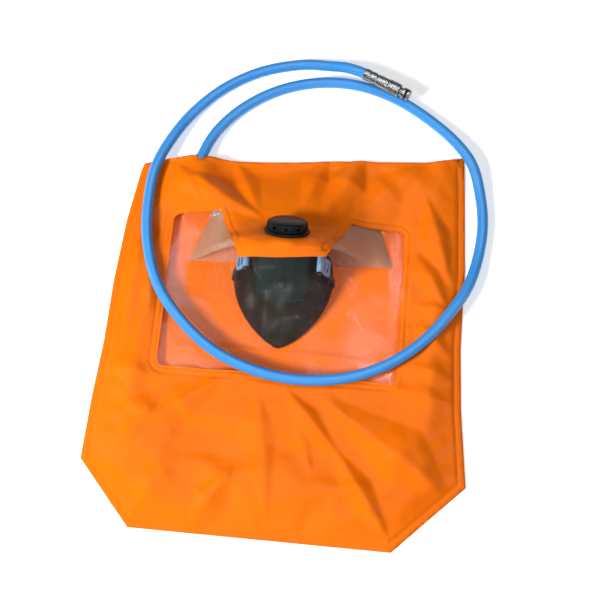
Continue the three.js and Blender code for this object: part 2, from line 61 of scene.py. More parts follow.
scene = bpy.context.scene

# ---- places, read from the frame

joints = {joint["name"]: joint for joint in frame["joints"]}


def along_z(origin, direction):
    """A placement at origin with its Z axis along direction and its X axis level."""
    z = Vector(direction).normalized()
    x = Vector((0, 1, 0)).cross(z) if abs(z.x) < 0.1 else Vector((0, 0, 1)).cross(z)
    x.normalize()
    turn = Matrix((x, z.cross(x), z)).transposed().to_4x4()
    return Matrix.Translation(origin) @ turn


def middle(node):
    low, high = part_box(node)
    return (low + high) / 2


valve_centre = Vector(joints["cover_turn"]["pos_m"])
valve_axis = Vector(joints["cover_turn"]["axis"]).normalized()
valve_place = along_z(valve_centre, valve_axis)

inlet_out = -Vector(joints["inhalation_lift"]["axis"]).normalized()
FERRULE_MIDDLE = 12.75 * MM  # of the inlet ferrule, along the inlet's axis
inlet_place = along_z(middle("inlet_ferrule") - inlet_out * FERRULE_MIDDLE, inlet_out)

mask_x = middle("mask_front_shell").x
nose_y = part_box("mask_facepiece")[0].y

# ---- camera, light and floor


def add_camera():
    azimuth, elevation, view_angle = radians(4.6), radians(72), radians(28)
    distance = 1.083
    target = Vector((0.0112, 0.0333, 0))
    back = Vector((sin(azimuth) * cos(elevation), -cos(azimuth) * cos(elevation), sin(elevation)))
    data = bpy.data.cameras.new("camera")
    data.angle = view_angle
    data.clip_end = 20
    camera = bpy.data.objects.new("camera", data)
    right = Vector((cos(azimuth), sin(azimuth), 0))
    turn = Matrix((right, back.cross(right), back)).transposed().to_4x4()
    camera.matrix_world = Matrix.Translation(target + back * distance) @ turn
    scene.collection.objects.link(camera)
    scene.camera = camera


def add_light(name, place, aim, size, power, colour=(1, 1, 1), mirrored=False):
    """An area lamp, its size width and height. It lights or, if mirrored, is only seen as a reflection."""
    data = bpy.data.lights.new(name, "AREA")
    data.shape = "RECTANGLE"
    data.size, data.size_y = size
    data.energy = power
    data.color = colour
    lamp = bpy.data.objects.new(name, data)
    lamp.location = place
    lamp.rotation_euler = (Vector(aim) - Vector(place)).to_track_quat("-Z", "Y").to_euler()
    lamp.visible_glossy = mirrored
    lamp.visible_diffuse = not mirrored
    scene.collection.objects.link(lamp)


def add_studio():
    add_light("key", (-1.0, -0.65, 1.05), (0, 0, 0), (0.4, 0.4), 37, (1, 0.985, 0.96))
    add_light("fill", (0.9, 0.5, 1.6), (0, 0, 0), (0.9, 0.9), 10, (0.98, 0.99, 1))
    # Thin lamps across (X) and along (Y) the hood, which show only as glints on the film's creases
    for i, (y, z, power) in enumerate([(0.72, 1.40, 5), (0.35, 1.55, 4), (-0.50, 1.30, 4), (-1.10, 0.85, 5)]):
        add_light(f"across_{i}", (0, y, z), (0, 0.05, 0), (1.4, 0.010), power, mirrored=True)
    for i, (x, z, power) in enumerate([(-1.2, 0.8, 5), (-0.45, 1.35, 4), (0.5, 1.35, 4), (1.2, 0.8, 5)]):
        add_light(f"along_{i}", (x, 0, z), (0, 0.05, 0), (0.010, 1.8), power, mirrored=True)
    world = bpy.data.worlds.new("studio")
    world.use_nodes = True
    background = world.node_tree.nodes["Background"]
    background.inputs["Color"].default_value = (0.95, 0.97, 1, 1)
    background.inputs["Strength"].default_value = 0.18
    scene.world = world
    scene.view_settings.view_transform = "Standard"
    mesh = bpy.data.meshes.new("floor")
    mesh.from_pydata([(-4, -4, 0), (4, -4, 0), (4, 4, 0), (-4, 4, 0)], [], [(0, 1, 2, 3)])
    floor = bpy.data.objects.new("floor", mesh)
    scene.collection.objects.link(floor)
    material = bpy.data.materials.new("floor")
    material.use_nodes = True
    shader = material.node_tree.nodes["Principled BSDF"]
    shader.inputs["Base Color"].default_value = (0.93, 0.93, 0.93, 1)
    shader.inputs["Emission Color"].default_value = (1, 1, 1, 1)
    shader.inputs["Emission Strength"].default_value = 0.35
    shader.inputs["Roughness"].default_value = 0.7
    mesh.materials.append(material)


add_camera()
add_studio()

# ---- mesh helpers


def mesh_object(name, points, faces):
    mesh = bpy.data.meshes.new(name)
    mesh.from_pydata([tuple(point) for point in points], [], [tuple(face) for face in faces])
    mesh.update()
    mesh.shade_smooth()
    obj = bpy.data.objects.new(name, mesh)
    scene.collection.objects.link(obj)
    return obj


def bake(obj):
    """Turns the object's modifiers into mesh."""
    bpy.context.view_layer.update()
    shown = obj.evaluated_get(bpy.context.evaluated_depsgraph_get())
    mesh = bpy.data.meshes.new_from_object(shown)
    obj.modifiers.clear()
    obj.data = mesh
    return obj


def sharp_above(obj, degrees):
    """Smooth shading, except over edges sharper than this."""
    obj.data.shade_smooth()
    obj.data.set_sharp_from_angle(angle=radians(degrees))
    return obj


def points_of(obj):
    flat = np.empty(len(obj.data.vertices) * 3)
    obj.data.vertices.foreach_get("co", flat)
    return flat.reshape(-1, 3)


def finished(obj, look, node=None, body="hood"):
    """Gives a piece the material of its look (a material and its slot, which is not used), hangs it on its
    body and hides the CAD node that it stands for.

    A blended piece has neither body nor node.
    """
    material, slot = look
    obj.data.materials.clear()
    obj.data.materials.append(material)
    if body:
        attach(obj, body)
    if node:
        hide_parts(node)
    return obj


def quadratic(start, control, end, steps=8):
    start, control, end = (np.array(point) for point in (start, control, end))
    return [(1 - t) ** 2 * start + 2 * t * (1 - t) * control + t * t * end for t in np.linspace(0, 1, steps)]


def eased(corners, cut):
    """A closed outline with each corner rounded off by a short curve."""
    eased_loop = []
    for i, corner in enumerate(corners):
        corner = np.array(corner, dtype=float)
        before = np.array(corners[i - 1], dtype=float) - corner
        after = np.array(corners[(i + 1) % len(corners)], dtype=float) - corner
        room = min(cut, 0.4 * np.linalg.norm(before), 0.4 * np.linalg.norm(after))
        start = corner + before / np.linalg.norm(before) * room
        end = corner + after / np.linalg.norm(after) * room
        if corner[0] < 1e-9:
            eased_loop.append(corner)
            continue
        eased_loop += quadratic(start, corner, end, 3)
    return eased_loop


def lathe(name, profile, place, segments=96, cut=0.35 * MM):
    """A closed turned solid. The profile is a loop of (radius, height) in millimetres."""
    loop = eased([(r * MM, z * MM) for r, z in profile], cut)
    points, rings = [], []
    for radius, height in loop:
        count = 1 if radius < 1e-7 else segments
        rings.append([len(points) + i for i in range(count)])
        for i in range(count):
            angle = 2 * pi * i / segments
            points.append(place @ Vector((radius * cos(angle), radius * sin(angle), height)))
    faces = []
    for low, high in zip(rings, rings[1:] + rings[:1]):
        for i in range(segments):
            j = (i + 1) % segments
            corners = [low[i % len(low)], low[j % len(low)], high[j % len(high)], high[i % len(high)]]
            face = list(dict.fromkeys(corners))
            if len(face) > 2:
                faces.append(face)
    obj = mesh_object(name, points, faces)
    fix_normals(obj)
    return sharp_above(obj, 35)


def fix_normals(obj):
    work = bmesh.new()
    work.from_mesh(obj.data)
    bmesh.ops.recalc_face_normals(work, faces=work.faces)
    work.to_mesh(obj.data)
    work.free()


def box_mesh(size, place):
    """The points and faces of a box, its size in metres, centred on a placement."""
    signs = [(x, y, z) for z in (-1, 1) for y in (-1, 1) for x in (-1, 1)]
    points = [place @ Vector([s * half / 2 for s, half in zip(sign, size)]) for sign in signs]
    faces = [(0, 2, 3, 1), (4, 5, 7, 6), (0, 1, 5, 4), (2, 6, 7, 3), (0, 4, 6, 2), (1, 3, 7, 5)]
    return points, faces


def boxes(name, size, places):
    """Several equal boxes as one mesh."""
    points, faces = [], []
    for place in places:
        more, sides = box_mesh(size, place)
        faces += [[len(points) + i for i in side] for side in sides]
        points += more
    return mesh_object(name, points, faces)


def combine(obj, other, operation):
    """Cuts other from obj, or joins it to obj, and removes other."""
    change = obj.modifiers.new("combine", "BOOLEAN")
    change.operation = operation
    change.solver = "EXACT"
    change.use_self = True
    change.object = other
    bake(obj)
    bpy.data.objects.remove(other)
    return obj


def thickened(obj, thickness):
    """Gives a film this thickness, below its surface."""
    thick = obj.modifiers.new("film", "SOLIDIFY")
    thick.thickness = thickness
    thick.offset = -1
    return bake(obj)


def remeshed_copy(name, node, voxel, smoothing):
    """A CAD node's shape as one even, softened mesh."""
    obj = bpy.data.objects.new(name, frame["nodes"][node].data.copy())
    scene.collection.objects.link(obj)
    remesh = obj.modifiers.new("remesh", "REMESH")
    remesh.mode = "VOXEL"
    remesh.voxel_size = voxel
    smooth = obj.modifiers.new("smooth", "SMOOTH")
    smooth.iterations = smoothing
    smooth.factor = 0.5
    bake(obj)
    obj.data.shade_smooth()
    return obj


# ---- material helpers


class Surface:
    """A Principled material with short ways to add its nodes."""

    def __init__(self, name, colour, roughness):
        self.material = bpy.data.materials.new(name)
        self.material.use_nodes = True
        self.tree = self.material.node_tree
        self.shader = self.tree.nodes["Principled BSDF"]
        self.shader.inputs["Base Color"].default_value = (*colour, 1)
        self.shader.inputs["Roughness"].default_value = roughness
        self.place = self.add("ShaderNodeTexCoord").outputs["Object"]

    def add(self, kind, **values):
        node = self.tree.nodes.new(kind)
        for name, value in values.items():
            setattr(node, name, value)
        return node

    def link(self, source, target):
        self.tree.links.new(source, target)

    def set(self, **values):
        """Sets shader sockets: coat_weight=0.3 sets Coat Weight."""
        for name, value in values.items():
            wanted = name.replace("_", " ").lower()
            socket = next(one for one in self.shader.inputs if one.name.lower() == wanted)
            socket.default_value = value

    def stretched(self, scale):
        """Object coordinates, scaled, for a pattern that is longer one way."""
        mapping = self.add("ShaderNodeMapping")
        mapping.inputs["Scale"].default_value = scale
        self.link(self.place, mapping.inputs["Vector"])
        return mapping.outputs["Vector"]

    def noise(self, scale, detail=2, place=None, distortion=0.0):
        node = self.add("ShaderNodeTexNoise")
        node.inputs["Scale"].default_value = scale
        node.inputs["Detail"].default_value = detail
        node.inputs["Distortion"].default_value = distortion
        self.link(place or self.place, node.inputs["Vector"])
        return node.outputs["Fac"]

    def ranged(self, value, low, high):
        """A value from 0 to 1, spread over this range."""
        node = self.add("ShaderNodeMapRange")
        node.inputs["To Min"].default_value = low
        node.inputs["To Max"].default_value = high
        self.link(value, node.inputs["Value"])
        return node.outputs["Result"]

    def mottled(self, scale, detail, first, second):
        """Base colour: noise between two colours."""
        node = self.add("ShaderNodeMix", data_type="RGBA")
        self.link(self.noise(scale, detail), node.inputs["Factor"])
        for name, colour in (("A", first), ("B", second)):
            socket = next(one for one in node.inputs if one.name == name and one.type == "RGBA")
            socket.default_value = (*colour, 1)
        mixed = next(one for one in node.outputs if one.type == "RGBA")
        self.link(mixed, self.shader.inputs["Base Color"])

    def worn(self, scale, detail, low, high):
        """Roughness: noise over this range."""
        self.link(self.ranged(self.noise(scale, detail), low, high), self.shader.inputs["Roughness"])

    def see_through(self, share, tint):
        """Lets this share of the light straight through, in this tint."""
        clear = self.add("ShaderNodeBsdfTransparent")
        clear.inputs["Color"].default_value = (*tint, 1)
        mix = self.add("ShaderNodeMixShader")
        mix.inputs["Fac"].default_value = 1 - share
        self.link(clear.outputs[0], mix.inputs[1])
        self.link(self.shader.outputs[0], mix.inputs[2])
        self.link(mix.outputs[0], self.tree.nodes["Material Output"].inputs["Surface"])
        return self.material

    def bumps(self, *layers):
        """Each layer is (height, how deep in metres)."""
        normal = None
        for height, depth in layers:
            bump = self.add("ShaderNodeBump")
            bump.inputs["Distance"].default_value = depth
            bump.inputs["Strength"].default_value = 1.0
            self.link(height, bump.inputs["Height"])
            if normal:
                self.link(normal, bump.inputs["Normal"])
            normal = bump.outputs["Normal"]
        self.link(normal, self.shader.inputs["Normal"])


# ---- air hose

HOSE_DIAMETER = 0.010
PATH_STEPS = 6  # points of a smooth path for each point of its route
HOSE_ROUTE = np.array([  # from the plug, round over the hood and the floor, into the hood and to the mask
    (65, 252, 16.4), (54.1, 257.1, 16.4), (38, 263.2, 13.4), (20, 267.2, 7.2), (-4, 267.6, 5.2),
    (-42, 257.5, 5.2), (-76, 237.5, 5.2), (-103, 209, 6.4), (-121, 177, 10.2), (-131.5, 147, 12.4),
    (-134, 112, 12.8), (-130.5, 75.5, 13.3), (-117, 35, 13.8), (-94, 4.5, 14.2), (-61, -23, 14.8),
    (-21, -39, 14.4), (18, -43.8, 13.8), (57, -39, 13.8), (93, -24, 13.8), (123, 0, 13.6),
    (146, 29.5, 12.2), (160, 54, 9.6), (168.5, 83, 5.9), (172, 115, 5.2), (169, 144, 5.9),
    (160.5, 173, 9.2), (148, 191.5, 8.8), (124, 215, 5.4), (88, 237.5, 5.2), (50, 249.5, 5.2),
    (12, 249.5, 5.2), (-26, 238, 5.2), (-58, 216.5, 5.4), (-79.5, 190.5, 6.6), (-90, 165, 8.6),
    (-92.3, 148, 10.6), (-88.5, 131, 12.2), (-79, 117.5, 13), (-63, 105.5, 13), (-44.2, 91.4, 13),
]) * MM
HIDDEN_FROM = 34  # the route's first point inside the hood


def smooth_path(points):
    """A centripetal Catmull-Rom curve through the points."""
    points = [np.array(point, dtype=float) for point in points]
    ends = [2 * points[0] - points[1]] + points + [2 * points[-1] - points[-2]]
    path = []
    for p0, p1, p2, p3 in zip(ends, ends[1:], ends[2:], ends[3:]):
        t0 = 0.0
        t1 = t0 + sqrt(np.linalg.norm(p1 - p0))
        t2 = t1 + sqrt(np.linalg.norm(p2 - p1))
        t3 = t2 + sqrt(np.linalg.norm(p3 - p2))
        for step in range(PATH_STEPS):
            t = t1 + (t2 - t1) * step / PATH_STEPS
            a1 = (p0 * (t1 - t) + p1 * (t - t0)) / (t1 - t0)
            a2 = (p1 * (t2 - t) + p2 * (t - t1)) / (t2 - t1)
            a3 = (p2 * (t3 - t) + p3 * (t - t2)) / (t3 - t2)
            b1 = (a1 * (t2 - t) + a2 * (t - t0)) / (t2 - t0)
            b2 = (a2 * (t3 - t) + a3 * (t - t1)) / (t3 - t1)
            path.append((b1 * (t2 - t) + b2 * (t - t1)) / (t2 - t1))
    path.append(points[-1])
    return np.array(path)


def swept(name, points, sides):
    """A closed body over rings of points, each ring with this many."""
    faces = []
    for low in range(0, len(points) - sides, sides):
        for i in range(sides):
            j = (i + 1) % sides
            faces.append((low + i, low + j, low + sides + j, low + sides + i))
    faces.append(range(sides)[::-1])
    faces.append(range(len(points) - sides, len(points)))
    obj = mesh_object(name, points, faces)
    fix_normals(obj)
    return sharp_above(obj, 50)


def tube(name, path, radius, sides=28):
    """A closed tube along a path, its rings carried along without twisting."""
    tangents = np.gradient(path, axis=0)
    tangents /= np.linalg.norm(tangents, axis=1)[:, None]
    across = np.cross(tangents[0], (0, 0, 1))
    points = []
    for middle, tangent in zip(path, tangents):
        across = across - tangent * np.dot(across, tangent)
        across /= np.linalg.norm(across)
        upward = np.cross(tangent, across)
        for i in range(sides):
            angle = 2 * pi * i / sides
            points.append(middle + radius * (cos(angle) * across + sin(angle) * upward))
    return swept(name, points, sides)


hose_path = smooth_path(HOSE_ROUTE)
hose = tube("blue_air_hose", hose_path, HOSE_DIAMETER / 2)

# ---- film: outlines in plan

FILM_THICKNESS = 0.0004
WELD = 0.0075  # width of the welded margin round the hood and of the band round the window
TAB_TOP = (0.058, -0.061)  # the chin tab's corners at the window's top, from the mask's middle
TAB_FOOT = (0.037, 0.056), (-0.0385, 0.051)  # its lower corners: from the mask's middle, and height in plan


def resampled(loop, spacing):
    """A closed outline with evenly spaced points, its corners kept."""
    loop = np.asarray(loop, dtype=float)
    points = []
    for start, end in zip(loop, np.roll(loop, -1, axis=0)):
        count = max(1, int(round(np.linalg.norm(end - start) / spacing)))
        points += [start + (end - start) * i / count for i in range(count)]
    return np.array(points)


def hood_outline():
    """The hood's cut edge, from the flat underside of its back panel."""
    points = points_of(frame["nodes"]["hood_back_panel"])
    foot = np.unique(points[points[:, 2] < 0.0001][:, :2].round(6), axis=0)
    centre = foot.mean(axis=0)
    order = np.argsort(np.arctan2(foot[:, 1] - centre[1], foot[:, 0] - centre[0]))
    return foot[order]


def window_outline():
    """The clear window: a rounded rectangle, with the chin tab standing in its top edge."""
    low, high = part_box("visor_window")
    round_corner = 0.007
    left, right, bottom, top = low.x, high.x, low.y, high.y
    loop = quadratic((left, bottom + round_corner), (left, bottom), (left + round_corner, bottom))
    loop += quadratic((right - round_corner, bottom), (right, bottom), (right, bottom + round_corner))
    loop += quadratic((right, top - round_corner), (right, top), (right - round_corner, top))
    loop.append(np.array((mask_x + TAB_TOP[0], top)))
    (right_foot, right_y), (left_foot, left_y) = TAB_FOOT
    dip = (mask_x, left_y - 0.0005)
    loop += quadratic((mask_x + right_foot, right_y), dip, (mask_x + left_foot, left_y), 16)
    loop.append(np.array((mask_x + TAB_TOP[1], top)))
    loop += quadratic((left + round_corner, top), (left, top), (left, top - round_corner))
    return np.array(loop)


def offset_loop(loop, distance):
    """The outline moved outwards (or inwards, if negative); it runs anticlockwise."""
    ahead = np.roll(loop, -1, axis=0) - loop
    ahead /= np.maximum(np.linalg.norm(ahead, axis=1), 1e-9)[:, None]
    along = ahead + np.roll(ahead, 1, axis=0)
    along /= np.maximum(np.linalg.norm(along, axis=1), 1e-9)[:, None]
    outward = np.stack([along[:, 1], -along[:, 0]], axis=1)
    corner = np.maximum(0.5, (outward * np.stack([ahead[:, 1], -ahead[:, 0]], axis=1)).sum(axis=1))
    return loop + outward * (distance / corner)[:, None]


def inside(points, loop):
    """True for each point that lies inside the outline."""
    x, y = points[:, 0][:, None], points[:, 1][:, None]
    x1, y1 = loop[:, 0][None], loop[:, 1][None]
    x2, y2 = np.roll(loop[:, 0], -1)[None], np.roll(loop[:, 1], -1)[None]
    crosses = (y1 > y) != (y2 > y)
    with np.errstate(divide="ignore", invalid="ignore"):
        left_of = x < (x2 - x1) * (y - y1) / (y2 - y1) + x1
    return (crosses & left_of).sum(axis=1) % 2 == 1


def distance_to(points, run, closed=False):
    """Distance in plan from each point to a run of line pieces."""
    run = np.asarray(run, dtype=float)[:, :2]
    starts, ends = (run, np.roll(run, -1, axis=0)) if closed else (run[:-1], run[1:])
    best = np.full(len(points), 1e9)
    for start, end in zip(starts, ends):
        step = end - start
        share = np.clip(((points - start) @ step) / max(step @ step, 1e-18), 0, 1)
        best = np.minimum(best, np.linalg.norm(points - start - share[:, None] * step, axis=1))
    return best


hood_edge = hood_outline()
neck_left = int(np.argmax(hood_edge[:, 1] - hood_edge[:, 0]))
neck_right = int(np.argmax(hood_edge[:, 1] + hood_edge[:, 0]))
hood_edge = np.roll(hood_edge, -neck_left, axis=0)
welded_edge = hood_edge[: (neck_right - neck_left) % len(hood_edge) + 1]
neck_edge = np.concatenate([hood_edge[len(welded_edge) - 1 :], hood_edge[:1]])
window_edge = window_outline()

# ---- film: folds and heights


class Fold:
    """A creased ridge in stiff film: straight, its two sides flat, dying out at both ends.

    In millimetres: its two ends in plan, its height, the widths of its sides left and right of the way from
    start to end, the share of that way at which it is highest (no unit), and the radius of its crest.
    """

    def __init__(self, start_x, start_y, end_x, end_y, height, left, right, peak, sharp=1.2):
        self.start = np.array((start_x, start_y)) * MM
        self.end = np.array((end_x, end_y)) * MM
        self.height = height * MM
        self.left = left * MM
        self.right = right * MM
        self.peak = peak
        self.sharp = sharp * MM

    def lift(self, points):
        along = self.end - self.start
        length = np.linalg.norm(along)
        along = along / length
        share = (points - self.start) @ along / length
        side = (points - self.start) @ np.array((-along[1], along[0]))
        rise = np.minimum(share / self.peak, (1 - share) / (1 - self.peak))
        width = np.where(side > 0, self.left, self.right)
        away = np.sqrt(side**2 + self.sharp**2) - self.sharp
        return np.maximum(0, self.height * (rise - away / width))


# Folds of the front panel
HOOD_FOLDS = [Fold(*row) for row in [
    (-48, -44, -122, -96, 6.5, 20, 18, 0.5), (-90, -46, -140, -120, 4.25, 16, 18, 0.5),
    (-34, -122, -68, -182, 5.75, 18, 14, 0.5), (-80, -112, -118, -170, 3.25, 18, 16, 0.5),
    (-18, -56, 0, -176, 3.75, 12, 20, 0.3), (4, -50, 60, -112, 5.5, 9, 16, 0.4),
    (48, -96, 106, -180, 7, 12, 14, 0.45), (30, -52, 158, -140, 8.5, 30, 22, 0.6),
    (16, -78, 34, -126, 3, 8, 8, 0.4), (92, -42, 160, -56, 3.25, 12, 12, 0.4),
    (110, -20, 158, -34, 2.75, 9, 11, 0.5), (-100, -52, -157, -40, 3.25, 14, 16, 0.5),
    (62, 178, 22, 98, 9.5, 18, 18, 0.4), (26, 172, 6, 112, 5, 12, 14, 0.4),
    (114, 172, 48, 106, 5, 18, 18, 0.45), (-106, 145, -26, 98, 7, 14, 14, 0.45),
    (-58, 160, -30, 106, 4.75, 13, 13, 0.4), (-112, 152, -86, 116, 5, 10, 12, 0.5),
    (118, 140, 148, 50, 6.25, 12, 16, 0.45), (108, 90, 150, 20, 3.5, 10, 12, 0.4),
    (110, 34, 154, 30, 3.25, 8, 9, 0.5), (112, 20, 152, -14, 3.5, 10, 12, 0.5),
    (-150, 130, -154, 10, 3.5, 7, 8, 0.5), (-138, 90, -141, -30, 4.5, 9, 10, 0.5),
    (-126, 70, -122, 0, 3, 6, 8, 0.5),
]]
# Small creases of the clear film, running down to the mask's nose
NOSE_FOLDS = [
    Fold(mask_x / MM + x, y, mask_x / MM + to_x, nose_y / MM - 4, height, 3.5, 3.5, 0.5, 0.6)
    for x, y, to_x, height in [
        (-30, 45, -4, 2.5), (-18, 30, -2, 2.75), (-6, 24, 0, 2.5), (4, 28, 2, 3),
        (14, 34, 3, 2.625), (26, 46, 6, 2.5), (34, 30, 12, 2.25), (-38, 28, -12, 2.25),
        (-44, 50, -20, 2), (42, 52, 22, 2),
    ]
]
# Folds of the panel's and the window's film round the mask
WINDOW_FOLDS = [Fold(*row) for row in [
    (30, 34, 56, 10, 3, 3, 3, 0.5, 0.6), (-45, 55, -100, 20, 3.75, 10, 8, 0.4),
    (-40, 10, -102, -20, 3.25, 10, 10, 0.4), (40, 50, 96, 34, 2.75, 8, 10, 0.4),
    (36, 22, 98, -2, 3.25, 8, 12, 0.4), (0, -20, 40, -37, 2.25, 6, 6, 0.4),
    (-20, -16, -60, -36, 2.25, 6, 6, 0.4),
]]
# Creases of the back panel, seen through the window
BACK_FOLDS = [Fold(*row) for row in [
    (-104, -18.5, 0, -17, 3.25, 4, 10, 0.5), (-10, -16.5, 108, -21.5, 3.25, 4, 10, 0.5),
    (52, 4, 100, 6, 1.5, 5, 6, 0.5), (50, -8, 104, -10, 1.5, 5, 6, 0.5),
    (-102, 34, -58, 20, 1.5, 6, 6, 0.5),
]]


def surface_tree(*nodes):
    """The CAD nodes as one surface to cast rays onto."""
    points, faces = [], []
    for node in nodes:
        mesh = frame["nodes"][node].data
        start = len(points)
        points += [vertex.co.copy() for vertex in mesh.vertices]
        faces += [[start + i for i in face.vertices] for face in mesh.polygons]
    return BVHTree.FromPolygons(points, faces)


def heights_on(tree, points):
    """Height of a surface at each point in plan, seen from above; gaps take the nearest height."""
    heights = np.empty(len(points))
    for i, (x, y) in enumerate(points):
        hit = tree.ray_cast(Vector((x, y, 1)), Vector((0, 0, -1)))[0]
        if hit is None:
            hit = tree.find_nearest(Vector((x, y, 0.004)))[0]
        heights[i] = hit.z
    return heights


def under_hose(points, heights):
    """Presses the film down below the hose that lies on it."""
    limit = np.full(len(points), 1.0)
    radius = HOSE_DIAMETER / 2
    clearance = FILM_THICKNESS
    for middle in hose_path[: HIDDEN_FROM * PATH_STEPS]:
        away = np.linalg.norm(points - middle[:2], axis=1)
        near = np.minimum(away / (radius + clearance), 1)
        below = middle[2] - (radius + clearance) * np.sqrt(1 - near**2)
        beyond = np.maximum(0, away - radius) * 1.2
        limit = np.minimum(limit, np.where(away < radius, below, middle[2] + beyond))
    return np.minimum(heights, limit)


def valve_ring(radius, count=48):
    """A circle in the valve's plane, seen in plan."""
    angles = np.linspace(0, 2 * pi, count, False)
    return np.array([(valve_place @ Vector((radius * cos(a), radius * sin(a), 0)))[:2] for a in angles])


VALVE_HOLE = 0.0156
VALVE_RIM = valve_ring(VALVE_HOLE)


def fold_lift(points):
    """How far the creased ridges of the front panel stand up at each point."""
    lift = np.zeros(len(points))
    for fold in HOOD_FOLDS + WINDOW_FOLDS + NOSE_FOLDS:
        lift = np.maximum(lift, fold.lift(points))
    from_weld = distance_to(points, welded_edge) - 0.006
    from_valve = distance_to(points, VALVE_RIM, closed=True) - 0.008
    return lift * np.clip(np.minimum(from_weld, from_valve) / 0.012, 0, 1)


def planar_mesh(loops, holes, spacing):
    """Points and triangles that fill the first loop, keep every loop as edges and leave the holes."""
    outer = loops[0]
    low, high = outer.min(axis=0), outer.max(axis=0)
    rows = []
    for j, y in enumerate(np.arange(low[1], high[1], spacing * 0.866)):
        xs = np.arange(low[0] + (j % 2) * spacing / 2, high[0], spacing)
        rows.append(np.stack([xs, np.full_like(xs, y)], axis=1))
    lattice = np.concatenate(rows)
    keep = inside(lattice, outer)
    for loop in loops + holes:
        keep &= distance_to(lattice, loop, closed=True) > spacing * 0.6
    for hole in holes:
        keep &= ~inside(lattice, hole)
    points, edges = list(lattice[keep]), []
    for loop in loops + holes:
        first = len(points)
        points += list(loop)
        edges += [(first + i, first + (i + 1) % len(loop)) for i in range(len(loop))]
    filled = geometry.delaunay_2d_cdt([Vector(point) for point in points], edges, [], 0, 1e-6)
    points = np.array([tuple(point) for point in filled[0]])
    triangles = np.array(filled[2])
    centres = points[triangles].mean(axis=1)
    keep = inside(centres, outer)
    for hole in holes:
        keep &= ~inside(centres, hole)
    triangles = triangles[keep]
    used = np.unique(triangles)
    renumber = np.full(len(points), -1)
    renumber[used] = np.arange(len(used))
    return points[used], renumber[triangles]


def smoothed(values, triangles, rounds, weights=None):
    """Each value moved towards its neighbours' mean, a few times."""
    edges = np.concatenate([triangles[:, [0, 1]], triangles[:, [1, 2]], triangles[:, [2, 0]]])
    edges = np.unique(np.sort(edges, axis=1), axis=0)
    count = np.bincount(edges.ravel(), minlength=len(values)).astype(float)
    share = 0.5 if weights is None else 0.5 * weights
    for _ in range(rounds):
        total = np.zeros(len(values))
        np.add.at(total, edges[:, 0], values[edges[:, 1]])
        np.add.at(total, edges[:, 1], values[edges[:, 0]])
        values = values + share * (total / np.maximum(count, 1) - values)
    return values


VALVE_FLAT = 0.0215  # the film lies clamped flat this far round the valve


def pinned_share(points):
    """1 where the film is welded or clamped; elsewhere a soft hold on its start shape."""
    from_edge = distance_to(points, welded_edge)
    from_valve = distance_to(points, VALVE_RIM, closed=True)
    held = (from_edge < WELD) | (from_valve < VALVE_FLAT - VALVE_HOLE)
    return np.where(held, 1.0, 0.10)


CLOTH = {
    "quality": 6, "mass": 0.05, "air_damping": 2, "pin_stiffness": 1.0,
    "tension_stiffness": 30, "compression_stiffness": 30, "shear_stiffness": 15, "bending_stiffness": 0.6,
    "tension_damping": 8, "compression_damping": 8, "bending_damping": 1,
}


def buckle(obj, held, slack):
    """A short cloth simulation: the film has a little slack, so it buckles between where it is held."""
    group = obj.vertex_groups.new(name="held")
    for i, share in enumerate(held):
        group.add([i], float(share), "REPLACE")
    cloth = obj.modifiers.new("cloth", "CLOTH")
    settings = cloth.settings
    for name, value in CLOTH.items():
        setattr(settings, name, value)
    settings.vertex_group_mass = "held"
    settings.shrink_min = settings.shrink_max = -slack
    settings.effector_weights.gravity = 0.0
    cloth.point_cache.frame_start = 1
    cloth.point_cache.frame_end = 40
    for step in range(1, 31):
        scene.frame_set(step)
    bake(obj)
    scene.frame_set(1)


FILM_SLACK = 0.012  # share by which the film is too large for its frame
BUCKLE_RANGE = -0.0035, 0.0040  # how far a buckle may go down or up
OVER_SOLIDS = -0.0002  # how far it may go down over the pieces that hold the film up
# Runs in plan along those pieces: the hose inside the hood and the mask
SUPPORTS = [point[:2] for point in HOSE_ROUTE[HIDDEN_FROM:]] + [(mask_x, 0.080), (mask_x, 0.020)]


def wrinkled_film():
    """The front film as one sheet, from which the panels take their shape."""
    spacing = 0.004
    points, triangles = planar_mesh([resampled(hood_edge, spacing)], [VALVE_RIM], spacing)
    loose = (pinned_share(points) < 1).astype(float)
    base = heights_on(surface_tree("hood_front_panel", "visor_window"), points) - FILM_THICKNESS
    heights = under_hose(points, smoothed(base, triangles, 8, loose))
    film = mesh_object("film_start", np.column_stack([points, heights]), triangles)
    buckle(film, pinned_share(points), FILM_SLACK)
    shape = points_of(film)
    rise = np.clip(shape[:, 2] - heights, *BUCKLE_RANGE)
    over_solids = distance_to(shape[:, :2], SUPPORTS) < 0.05
    rise = np.where(over_solids, np.maximum(rise, OVER_SOLIDS), rise)
    shape[:, 2] = heights + smoothed(rise, triangles, 1)
    tree = BVHTree.FromPolygons([Vector(point) for point in shape], triangles.tolist())
    bpy.data.objects.remove(film)
    return tree


film_tree = wrinkled_film()

# ---- materials


def orange_film():
    """Semi-gloss coated film: a saturated orange with faint handling marks and fine crinkles."""
    film = Surface("orange_film", (0.95, 0.20, 0.006), 0.30)
    film.set(specular_ior_level=0.10)
    film.mottled(9, 3, (1.0, 0.235, 0.004), (0.86, 0.165, 0.001))
    film.worn(26, 4, 0.24, 0.38)
    crinkle = film.noise(60, 5, distortion=0.8)
    grain = film.noise(1500, 2)
    film.bumps((crinkle, 0.0006), (grain, 0.00003))
    return film.see_through(0.30, (1.0, 0.60, 0.22))


